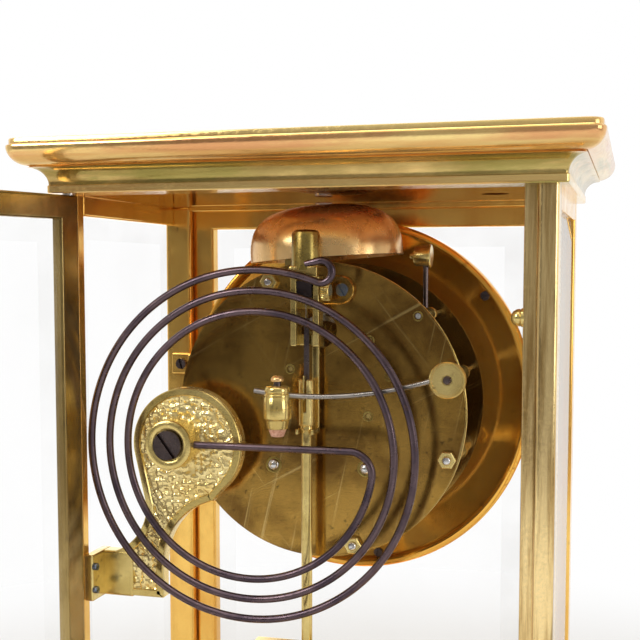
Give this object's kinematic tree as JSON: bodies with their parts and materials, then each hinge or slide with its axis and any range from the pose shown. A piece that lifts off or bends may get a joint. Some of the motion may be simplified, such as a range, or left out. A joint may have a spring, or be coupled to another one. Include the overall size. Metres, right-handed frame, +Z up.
{
  "type": "crystal regulator clock",
  "caption": "Mantel clock with a glazed brass case, hinged front and rear doors, a striking movement with bell and coiled gong, dial, hands and a short pendulum.",
  "frame": {"origin": "centre of the base's underside, midway between the corner posts", "axes": "+Z up, -Y towards the dial and front door, +X to the right seen from the front"},
  "size_m": [0.1996, 0.2238, 0.261],
  "materials": {
    "polished_brass": "polished, lightly tarnished",
    "ceiling_brass": "mirror polished, browned",
    "plate_brass": "polished, dark",
    "movement_brass": "satin",
    "gong_stand_brass": "cast, stippled",
    "bell_bronze": "polished copper bronze",
    "steel": "polished",
    "blued_steel": "blued",
    "gong_steel": "purple-brown tempered",
    "enamel": "gloss enamel",
    "glass": "clear, bevelled",
    "leather": "worn"
  },
  "bodies": {
    "case": {"base": "polished_brass", "cornice": "polished_brass", "ceiling_plate": "ceiling_brass", "front_left_post": "polished_brass", "front_right_post": "polished_brass", "rear_left_post": "polished_brass", "rear_right_post": "polished_brass", "side_rails": "polished_brass", "side_glass": "glass", "case_screws": "steel", "hinge_pins": "steel", "door_catch": "polished_brass", "dial_ring": "polished_brass", "dial": "enamel", "bezel": "polished_brass", "ring_brackets": "movement_brass", "slotted_screws": "blued_steel", "front_plate": "plate_brass", "back_plate": "plate_brass", "plate_pillars": "movement_brass", "ring_feet": "movement_brass", "pillar_nuts": "movement_brass", "suspension_cock": "polished_brass", "bell_stand": "movement_brass", "bell": "bell_bronze", "gong": "gong_steel", "gong_stand": "gong_stand_brass"},
    "front_door": {"front_door_frame": "polished_brass", "front_door_glass": "glass", "front_door_knob": "polished_brass"},
    "rear_door": {"rear_door_frame": "polished_brass", "rear_door_glass": "glass", "rear_door_knob": "polished_brass"},
    "minute": {"minute_hand": "blued_steel", "hand_nut": "movement_brass", "cannon_pinion": "steel"},
    "minute_wheel": {"minute_wheel": "movement_brass"},
    "hour": {"hour_hand": "blued_steel", "hour_wheel": "movement_brass"},
    "going_barrel": {"going_barrel": "movement_brass"},
    "strike_barrel": {"strike_barrel": "movement_brass"},
    "going_arbor": {"going_arbor": "steel"},
    "strike_arbor": {"strike_arbor": "steel"},
    "second_wheel": {"second_wheel": "movement_brass"},
    "centre_wheel": {"centre_wheel": "movement_brass"},
    "third_wheel": {"third_wheel": "movement_brass"},
    "escape_wheel": {"escape_wheel": "movement_brass"},
    "pin_wheel": {"pin_wheel": "movement_brass"},
    "warning_wheel": {"warning_wheel": "movement_brass"},
    "fly": {"fly": "movement_brass"},
    "verge": {"anchor": "steel", "crutch": "movement_brass"},
    "rating_wheel": {"rating_wheel": "movement_brass"},
    "suspension": {"suspension_block": "steel"},
    "pendulum": {"suspension_leader": "steel", "pendulum_rod": "movement_brass", "pendulum_bob": "movement_brass"},
    "bell_hammer": {"bell_hammer": "movement_brass"},
    "gong_hammer": {"gong_hammer": "movement_brass", "gong_hammer_tip": "leather"}
  },
  "joints": [
    {"name": "front_door_hinge", "type": "hinge", "parent": "case", "child": "front_door", "pos_m": [0.0585, -0.0395, 0.13], "axis": [0, 0, 1], "range_deg": [0, 92]},
    {"name": "rear_door_hinge", "type": "hinge", "parent": "case", "child": "rear_door", "pos_m": [0.0684, 0.0404, 0.13], "axis": [0, 0, -1], "range_deg": [-107, 8]},
    {"name": "minute_turn", "type": "hinge", "parent": "case", "child": "minute", "pos_m": [0, 0, 0.1828], "axis": [0, 1, 0], "continuous": true},
    {"name": "minute_wheel_turn", "type": "hinge", "parent": "case", "child": "minute_wheel", "pos_m": [0, 0, 0.1948], "axis": [0, 1, 0], "continuous": true},
    {"name": "hour_turn", "type": "hinge", "parent": "case", "child": "hour", "pos_m": [0, 0, 0.1828], "axis": [0, 1, 0], "continuous": true},
    {"name": "third_turn", "type": "hinge", "parent": "case", "child": "third_wheel", "pos_m": [0.00891, 0, 0.19487], "axis": [0, 1, 0], "continuous": true},
    {"name": "centre_turn", "type": "hinge", "parent": "case", "child": "centre_wheel", "pos_m": [0, 0, 0.1828], "axis": [0, 1, 0], "continuous": true},
    {"name": "second_turn", "type": "hinge", "parent": "case", "child": "second_wheel", "pos_m": [0.01494, 0, 0.18148], "axis": [0, 1, 0], "continuous": true},
    {"name": "going_barrel_turn", "type": "hinge", "parent": "case", "child": "going_barrel", "pos_m": [0.0142, 0, 0.166], "axis": [0, 1, 0], "continuous": true},
    {"name": "escape_turn", "type": "hinge", "parent": "case", "child": "escape_wheel", "pos_m": [0, 0, 0.1994], "axis": [0, 1, 0], "continuous": true},
    {"name": "warning_turn", "type": "hinge", "parent": "case", "child": "warning_wheel", "pos_m": [-0.02128, 0, 0.1934], "axis": [0, 1, 0], "continuous": true},
    {"name": "pin_wheel_turn", "type": "hinge", "parent": "case", "child": "pin_wheel", "pos_m": [-0.01494, 0, 0.18148], "axis": [0, 1, 0], "continuous": true},
    {"name": "strike_barrel_turn", "type": "hinge", "parent": "case", "child": "strike_barrel", "pos_m": [-0.0142, 0, 0.166], "axis": [0, 1, 0], "continuous": true},
    {"name": "fly_turn", "type": "hinge", "parent": "case", "child": "fly", "pos_m": [-0.01528, 0, 0.20379], "axis": [0, 1, 0], "continuous": true},
    {"name": "going_wind", "type": "hinge", "parent": "case", "child": "going_arbor", "pos_m": [0.0142, 0, 0.166], "axis": [0, 1, 0], "continuous": true},
    {"name": "strike_wind", "type": "hinge", "parent": "case", "child": "strike_arbor", "pos_m": [-0.0142, 0, 0.166], "axis": [0, 1, 0], "continuous": true},
    {"name": "rating_turn", "type": "hinge", "parent": "case", "child": "rating_wheel", "pos_m": [0, 0.025, 0.218], "axis": [1, 0, 0], "range_deg": [-180, 180]},
    {"name": "suspension_slide", "type": "slide", "parent": "case", "child": "suspension", "axis": [0, 0, 1], "range_m": [-0.0006, 0.0006]},
    {"name": "pendulum_swing", "type": "hinge", "parent": "suspension", "child": "pendulum", "pos_m": [0.0016, 0.0244, 0.215], "axis": [0, 1, 0], "range_deg": [-3.5, 3.5]},
    {"name": "verge_swing", "type": "hinge", "parent": "case", "child": "verge", "pos_m": [0, 0, 0.215], "axis": [0, 1, 0], "range_deg": [-3.5, 3.5]},
    {"name": "bell_hammer_swing", "type": "hinge", "parent": "case", "child": "bell_hammer", "pos_m": [-0.0295, 0, 0.211], "axis": [0, 1, 0], "range_deg": [-12, 10.5], "stiffness_Nm_per_rad": 0.02},
    {"name": "gong_hammer_swing", "type": "hinge", "parent": "case", "child": "gong_hammer", "pos_m": [-0.0404, 0, 0.194], "axis": [0, 1, 0], "range_deg": [-12, 1.9], "stiffness_Nm_per_rad": 0.3}
  ],
  "couplings": [
    {"joint": "minute_wheel_turn", "follows": "minute_turn", "ratio": -0.33333},
    {"joint": "hour_turn", "follows": "minute_turn", "ratio": 0.083333},
    {"joint": "centre_turn", "follows": "third_turn", "ratio": -0.15385},
    {"joint": "second_turn", "follows": "third_turn", "ratio": 0.023669},
    {"joint": "going_barrel_turn", "follows": "third_turn", "ratio": -0.0035065},
    {"joint": "escape_turn", "follows": "third_turn", "ratio": -4},
    {"joint": "pin_wheel_turn", "follows": "warning_turn", "ratio": -0.17391},
    {"joint": "strike_barrel_turn", "follows": "warning_turn", "ratio": 0.025765},
    {"joint": "fly_turn", "follows": "warning_turn", "ratio": -5},
    {"joint": "rating_turn", "follows": "suspension_slide", "rad_per_m": 5236},
    {"joint": "verge_swing", "follows": "pendulum_swing", "ratio": 1}
  ]
}
